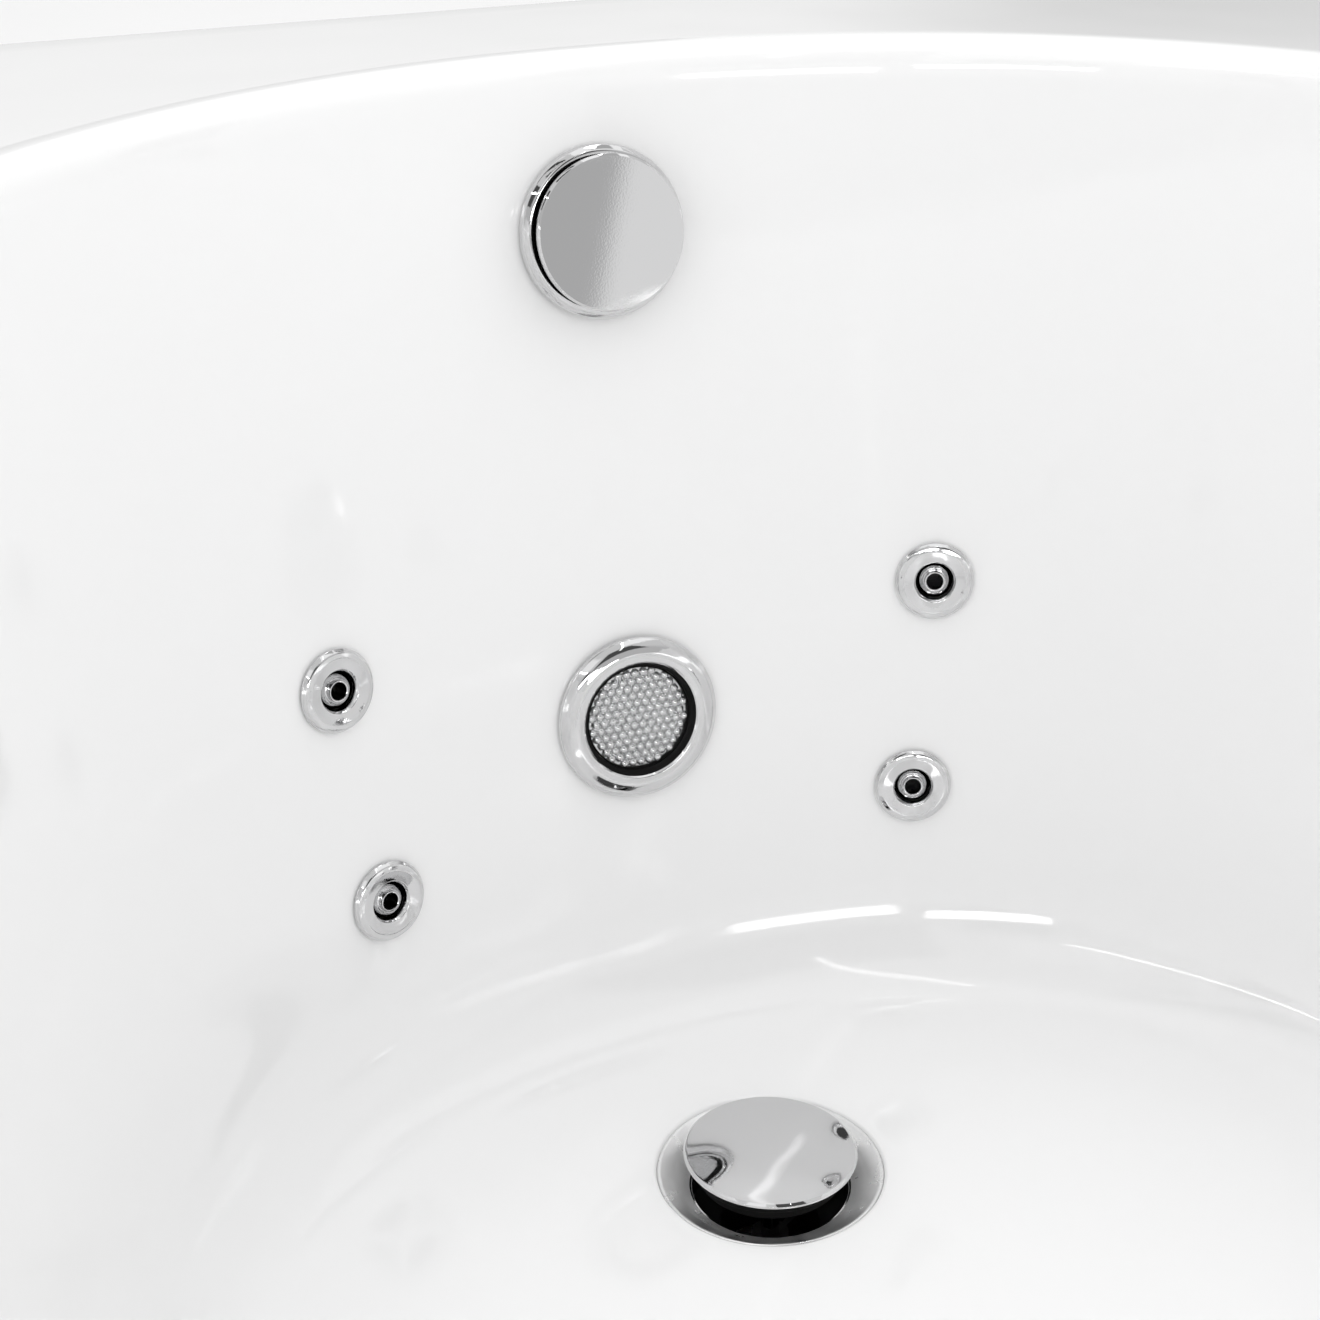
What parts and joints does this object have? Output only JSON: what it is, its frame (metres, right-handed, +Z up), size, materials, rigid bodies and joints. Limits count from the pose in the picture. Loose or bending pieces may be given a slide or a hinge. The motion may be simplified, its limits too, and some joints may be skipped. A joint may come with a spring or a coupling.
{
  "type": "jetted bathtub",
  "caption": "White oval acrylic jetted bath with chrome water jets, underwater light, rotary overflow and lift-up waste on a steel frame with pump, plumbing and front apron.",
  "frame": {"origin": "centre of the footprint, on the floor under the levelling feet", "axes": "+Z up, +X along the tub from the waste and foot wall towards the backrest, +Y from the front apron towards the wall at the back"},
  "size_m": [1.7, 0.85, 0.619],
  "materials": {
    "acrylic": "gloss",
    "apron_white": "gloss",
    "chrome": "polished",
    "chrome_satin": "satin",
    "stainless": "brushed",
    "pvc_white": "matte",
    "pvc_grey": "matte",
    "black_plastic": "matte",
    "abs_white": "gloss",
    "rubber": "matte",
    "lens": "clear",
    "galvanised": "satin",
    "motor_paint": "satin",
    "laminations": "matte",
    "zinc": "satin",
    "chipboard": "matte",
    "hose_grey": "matte"
  },
  "bodies": {
    "tub": {"tub_shell": "acrylic", "overflow_ring": "chrome", "overflow_body": "pvc_white", "drain_flange": "chrome_satin", "waste_shoe": "pvc_white", "waste_pipes": "pvc_white", "waste_tee": "pvc_white", "knob_cable": "black_plastic", "light_bezel": "chrome", "light_housing": "black_plastic", "light_lens": "lens", "gaskets": "rubber", "fitting_nuts": "pvc_white", "jet_trims": "chrome", "jet_bodies": "abs_white", "water_main": "pvc_grey", "branch_pipes": "pvc_grey", "pipe_fittings": "pvc_grey", "suction_grille": "chrome", "suction_body": "abs_white", "suction_pipe": "pvc_grey", "pump_volute": "black_plastic", "motor_housing": "motor_paint", "motor_stator": "laminations", "fan_cover": "motor_paint", "pump_tray": "galvanised", "pump_cradle": "black_plastic", "pump_mounts": "rubber", "frame": "galvanised", "base_board": "chipboard", "foot_nuts": "zinc", "front_apron": "apron_white", "air_control_body": "chrome", "air_button_body": "chrome", "air_hose": "hose_grey", "button_tube": "hose_grey", "control_box": "abs_white", "cables": "rubber"},
    "knob": {"overflow_knob": "chrome"},
    "plug": {"plug_cap": "chrome", "plug_seal": "rubber"},
    "jet_1": {"jet_ball_1": "chrome"},
    "jet_2": {"jet_ball_2": "chrome"},
    "jet_3": {"jet_ball_3": "chrome"},
    "jet_4": {"jet_ball_4": "chrome"},
    "jet_5": {"jet_ball_5": "chrome"},
    "jet_6": {"jet_ball_6": "chrome"},
    "jet_7": {"jet_ball_7": "chrome"},
    "jet_8": {"jet_ball_8": "chrome"},
    "air_knob": {"air_control_knob": "chrome"},
    "button": {"air_button": "chrome"},
    "panel": {"access_panel": "apron_white", "access_screws": "stainless"},
    "foot_1": {"levelling_foot_1": "zinc"},
    "foot_2": {"levelling_foot_2": "zinc"},
    "foot_3": {"levelling_foot_3": "zinc"},
    "foot_4": {"levelling_foot_4": "zinc"},
    "rotor": {"motor_rotor": "laminations", "pump_impeller": "black_plastic", "motor_fan": "black_plastic"}
  },
  "joints": [
    {"name": "overflow_knob_turn", "type": "hinge", "parent": "tub", "child": "knob", "pos_m": [-0.7274, 0, 0.5293], "axis": [0.9772, 0, 0.2123], "range_deg": [0, 90]},
    {"name": "plug_lift", "type": "slide", "parent": "tub", "child": "plug", "axis": [-0.0523, 0, 0.9986], "range_m": [-0.0125, 0]},
    {"name": "jet_1_tilt", "type": "hinge", "parent": "tub", "child": "jet_1", "pos_m": [-0.6758, -0.14022, 0.36757], "axis": [-0.3887, 0.9214, 0], "range_deg": [-10, 10]},
    {"name": "jet_2_tilt", "type": "hinge", "parent": "tub", "child": "jet_2", "pos_m": [-0.6758, 0.14022, 0.36757], "axis": [0.3887, 0.9214, 0], "range_deg": [-10, 10]},
    {"name": "jet_3_tilt", "type": "hinge", "parent": "tub", "child": "jet_3", "pos_m": [-0.66271, -0.12806, 0.26956], "axis": [-0.3565, 0.9343, 0], "range_deg": [-10, 10]},
    {"name": "jet_4_tilt", "type": "hinge", "parent": "tub", "child": "jet_4", "pos_m": [-0.66271, 0.12806, 0.26956], "axis": [0.3565, 0.9343, 0], "range_deg": [-10, 10]},
    {"name": "jet_5_tilt", "type": "hinge", "parent": "tub", "child": "jet_5", "pos_m": [-0.20003, -0.33066, 0.33914], "axis": [-1, 0.0065, 0], "range_deg": [-10, 10]},
    {"name": "jet_6_tilt", "type": "hinge", "parent": "tub", "child": "jet_6", "pos_m": [0.16007, -0.33022, 0.33912], "axis": [-0.9999, -0.0153, 0], "range_deg": [-10, 10]},
    {"name": "jet_7_tilt", "type": "hinge", "parent": "tub", "child": "jet_7", "pos_m": [-0.20003, 0.33066, 0.33914], "axis": [1, 0.0065, 0], "range_deg": [-10, 10]},
    {"name": "jet_8_tilt", "type": "hinge", "parent": "tub", "child": "jet_8", "pos_m": [0.16007, 0.33022, 0.33912], "axis": [0.9999, -0.0153, 0], "range_deg": [-10, 10]},
    {"name": "air_control_turn", "type": "hinge", "parent": "tub", "child": "air_knob", "pos_m": [0.69, -0.32, 0.6], "axis": [0, 0, 1], "range_deg": [0, 270]},
    {"name": "air_button_press", "type": "slide", "parent": "tub", "child": "button", "axis": [0, 0, -1], "range_m": [0, 0.004], "stiffness_N_per_m": 600, "springref_m": -0.002},
    {"name": "access_panel_pull", "type": "slide", "parent": "tub", "child": "panel", "axis": [0, -1, 0], "range_m": [0, 0.06]},
    {"name": "levelling_foot_1_turn", "type": "hinge", "parent": "tub", "child": "foot_1", "pos_m": [-0.7, -0.385, 0.08], "axis": [0, 0, 1], "range_deg": [-180, 180]},
    {"name": "levelling_foot_2_turn", "type": "hinge", "parent": "tub", "child": "foot_2", "pos_m": [-0.7, 0.385, 0.08], "axis": [0, 0, 1], "range_deg": [-180, 180]},
    {"name": "levelling_foot_3_turn", "type": "hinge", "parent": "tub", "child": "foot_3", "pos_m": [0.7, -0.385, 0.08], "axis": [0, 0, 1], "range_deg": [-180, 180]},
    {"name": "levelling_foot_4_turn", "type": "hinge", "parent": "tub", "child": "foot_4", "pos_m": [0.7, 0.385, 0.08], "axis": [0, 0, 1], "range_deg": [-180, 180]},
    {"name": "pump_shaft_spin", "type": "hinge", "parent": "tub", "child": "rotor", "pos_m": [0.69, -0.08, 0.193], "axis": [0, 1, 0], "continuous": true}
  ],
  "couplings": [
    {"joint": "plug_lift", "follows": "overflow_knob_turn", "m_per_rad": -0.007957}
  ]
}
